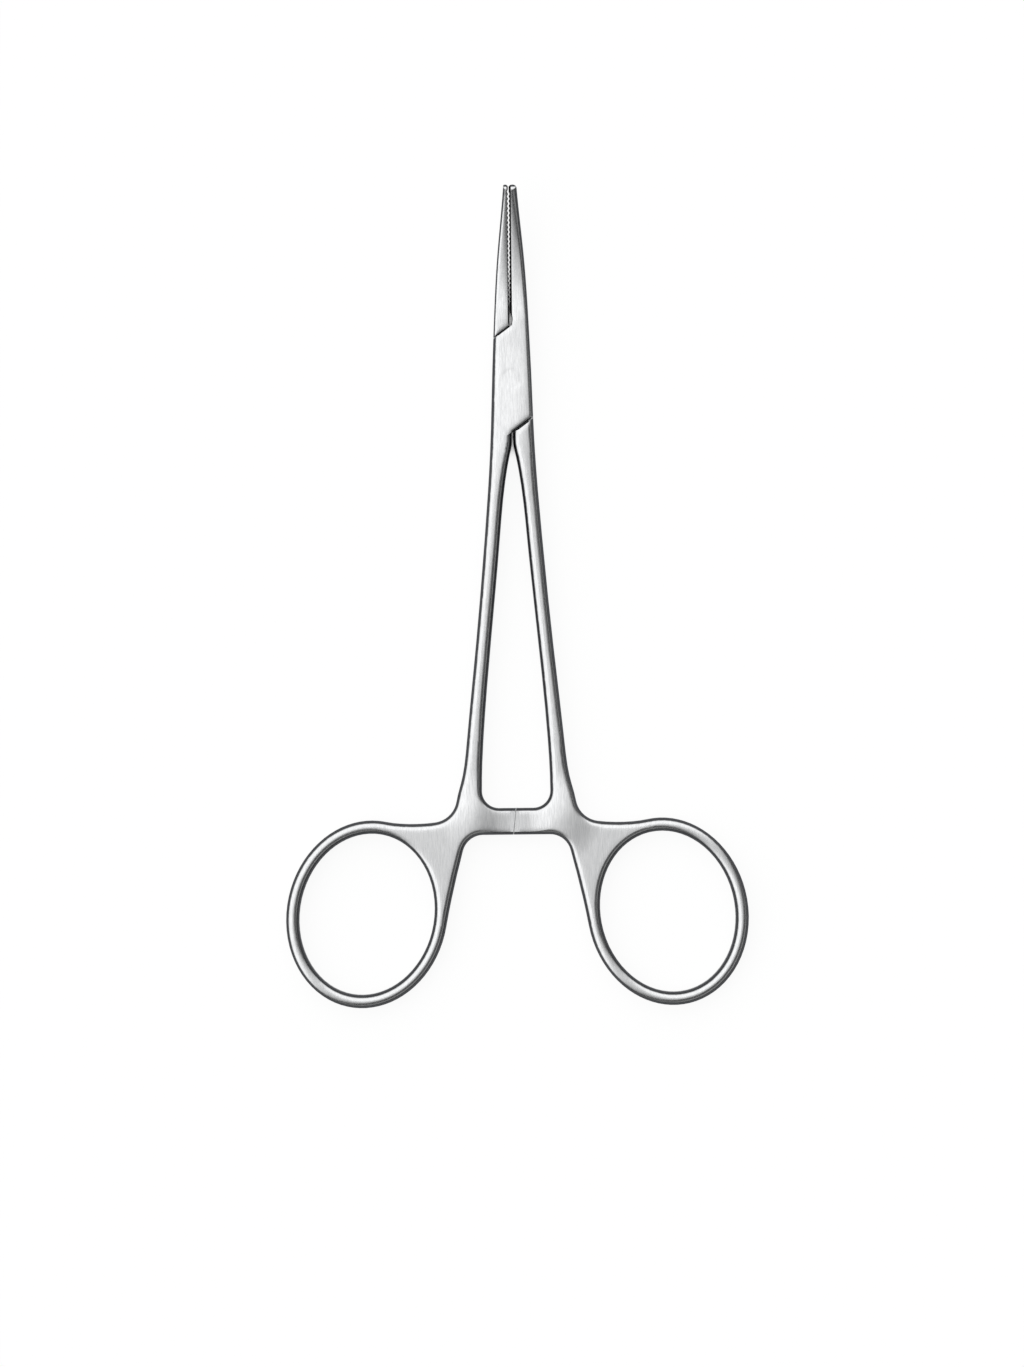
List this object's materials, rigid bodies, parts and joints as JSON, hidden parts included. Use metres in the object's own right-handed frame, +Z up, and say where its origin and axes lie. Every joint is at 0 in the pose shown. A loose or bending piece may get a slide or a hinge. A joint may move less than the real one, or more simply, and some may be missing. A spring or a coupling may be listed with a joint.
{
  "type": "mosquito forceps",
  "caption": "Small ring-handled haemostatic forceps with curved serrated jaws, a box lock and a ratchet bar between the finger rings.",
  "frame": {"origin": "on the pivot axis of the box lock, at the flat underside of the box", "axes": "+Y from the pivot towards the jaw tips, +X towards the right finger ring, +Z up through the thickness, the way the jaws curve; the forceps lie flat on the XY plane"},
  "size_m": [0.0706, 0.1249, 0.0067],
  "materials": {
    "satin_steel": "satin"
  },
  "bodies": {
    "box_side": {"box_half": "satin_steel", "lock_pin": "satin_steel"},
    "tongue_side": {"tongue_half": "satin_steel"}
  },
  "joints": [
    {"name": "box_lock_pivot", "type": "hinge", "parent": "box_side", "child": "tongue_side", "pos_m": [0, 0, 0.00195], "axis": [0, 0, 1], "range_deg": [0, 40]}
  ]
}
